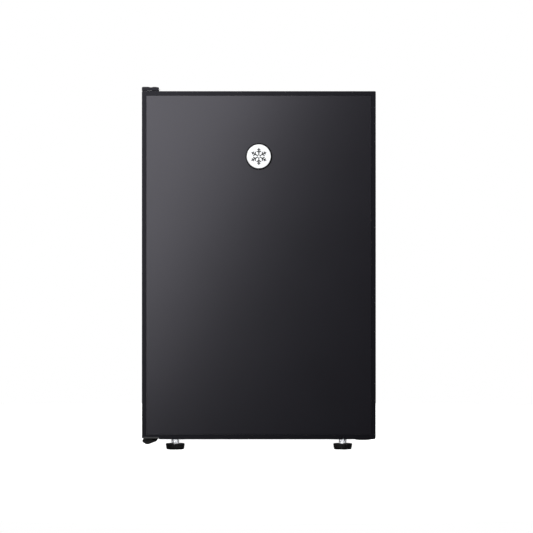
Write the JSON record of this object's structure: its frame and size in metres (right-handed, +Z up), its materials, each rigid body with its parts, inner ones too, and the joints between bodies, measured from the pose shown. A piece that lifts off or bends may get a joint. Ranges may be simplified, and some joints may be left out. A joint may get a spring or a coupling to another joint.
{
  "type": "mini fridge",
  "caption": "Counter-height compact refrigerator: framed flat door hinged on the left, ice box with flap, wire shelves, door racks, rear condenser and compressor.",
  "frame": {"origin": "middle of the footprint's bounding box, on the floor", "axes": "+Z up, the door faces -Y, +X to the right of someone facing the door"},
  "size_m": [0.43, 0.48, 0.6733],
  "materials": {
    "cabinet_paint": "smooth satin dark grey coating",
    "door_graphite": "semi-gloss graphite coated steel sheet",
    "frame_plastic": "satin black moulded and extruded plastic",
    "cover_plastic": "fine-textured black plastic",
    "zinc_sheet": "galvanised sheet with a faint spangle",
    "hinge_steel": "zinc plated steel",
    "hinge_paint": "black painted steel",
    "insulation": "closed-cell foam",
    "liner_white": "white thermoformed plastic",
    "fitting_white": "white moulded plastic",
    "clear_plastic": "clear moulded plastic",
    "seal_rubber": "soft dark grey seal",
    "magnet": "bonded ferrite strip",
    "bush_nylon": "dark grey nylon",
    "badge_dark": "dark chrome ring",
    "badge_bright": "bright polished disc",
    "evaporator_metal": "bare roll-bond aluminium",
    "shelf_wire": "white coated wire",
    "compressor_black": "black stoved enamel",
    "copper": "bare copper tube"
  },
  "bodies": {
    "cabinet": {"back_panel": "zinc_sheet", "base_plate": "zinc_sheet", "cabinet_foam": "insulation", "cabinet_screws": "hinge_steel", "capillary_tube": "copper", "compressor_bolts": "hinge_steel", "compressor_foot_plate": "zinc_sheet", "compressor_grommets": "seal_rubber", "compressor_lower_shell": "compressor_black", "compressor_motor": "compressor_black", "compressor_tray": "zinc_sheet", "compressor_upper_shell": "compressor_black", "condenser_coil": "compressor_black", "condenser_rails": "zinc_sheet", "condenser_wires": "compressor_black", "cord_gland": "cover_plastic", "discharge_tube": "compressor_black", "evaporator_box": "evaporator_metal", "evaporator_hangers": "insulation", "filter_drier": "copper", "hinge_hole_plugs": "cover_plastic", "ice_box_frame": "fitting_white", "inner_liner": "liner_white", "lower_hinge_cap": "cover_plastic", "lower_hinge_pin": "hinge_paint", "lower_hinge_plate": "hinge_paint", "outer_shell": "cabinet_paint", "rear_feet": "cover_plastic", "starter_box": "cover_plastic", "suction_tube": "copper", "thermostat_housing": "fitting_white", "thermostat_switch": "fitting_white", "top_hinge_cover": "cover_plastic", "top_hinge_pin": "hinge_steel", "top_hinge_plate": "hinge_steel", "wall_spacers": "cover_plastic"},
    "door": {"door_panel": "door_graphite", "door_left_profile": "frame_plastic", "door_right_profile": "frame_plastic", "door_top_cap": "frame_plastic", "door_bottom_cap": "frame_plastic", "upper_hinge_bush": "bush_nylon", "lower_hinge_bush": "bush_nylon", "door_foam": "insulation", "door_liner": "liner_white", "door_gasket": "seal_rubber", "gasket_magnets": "magnet", "badge_ring": "badge_dark", "badge_face": "badge_bright"},
    "upper_rack": {"door_rack_upper": "clear_plastic"},
    "lower_rack": {"door_rack_lower": "clear_plastic"},
    "flap": {"ice_box_flap": "fitting_white"},
    "tray": {"drip_tray": "clear_plastic"},
    "top_shelf": {"upper_shelf": "shelf_wire"},
    "bottom_shelf": {"lower_shelf": "shelf_wire"},
    "knob": {"thermostat_knob": "fitting_white"},
    "left_foot": {"front_foot_left_pad": "cover_plastic", "front_foot_left_stud": "hinge_steel"},
    "right_foot": {"front_foot_right_pad": "cover_plastic", "front_foot_right_stud": "hinge_steel"}
  },
  "joints": [
    {"name": "door_swing", "type": "hinge", "parent": "cabinet", "child": "door", "pos_m": [-0.205, -0.215, 0.345], "axis": [0, 0, -1], "range_deg": [0, 115]},
    {"name": "upper_rack_lift", "type": "slide", "parent": "door", "child": "upper_rack", "axis": [0, 0, 1], "range_m": [0, 0.015]},
    {"name": "lower_rack_lift", "type": "slide", "parent": "door", "child": "lower_rack", "axis": [0, 0, 1], "range_m": [0, 0.015]},
    {"name": "flap_swing", "type": "hinge", "parent": "cabinet", "child": "flap", "pos_m": [0, -0.093, 0.614], "axis": [-1, 0, 0], "range_deg": [0, 90]},
    {"name": "tray_slide", "type": "slide", "parent": "cabinet", "child": "tray", "axis": [0, -1, 0], "range_m": [0, 0.08]},
    {"name": "top_shelf_slide", "type": "slide", "parent": "cabinet", "child": "top_shelf", "axis": [0, -1, 0], "range_m": [0, 0.024]},
    {"name": "bottom_shelf_slide", "type": "slide", "parent": "cabinet", "child": "bottom_shelf", "axis": [0, -1, 0], "range_m": [0, 0.05]},
    {"name": "knob_turn", "type": "hinge", "parent": "cabinet", "child": "knob", "pos_m": [0.163, -0.08, 0.462], "axis": [0, 1, 0], "range_deg": [0, 280]},
    {"name": "left_foot_screw", "type": "slide", "parent": "cabinet", "child": "left_foot", "axis": [0, 0, 1], "range_m": [-0.01, 0.006]},
    {"name": "right_foot_screw", "type": "slide", "parent": "cabinet", "child": "right_foot", "axis": [0, 0, 1], "range_m": [-0.01, 0.006]}
  ]
}
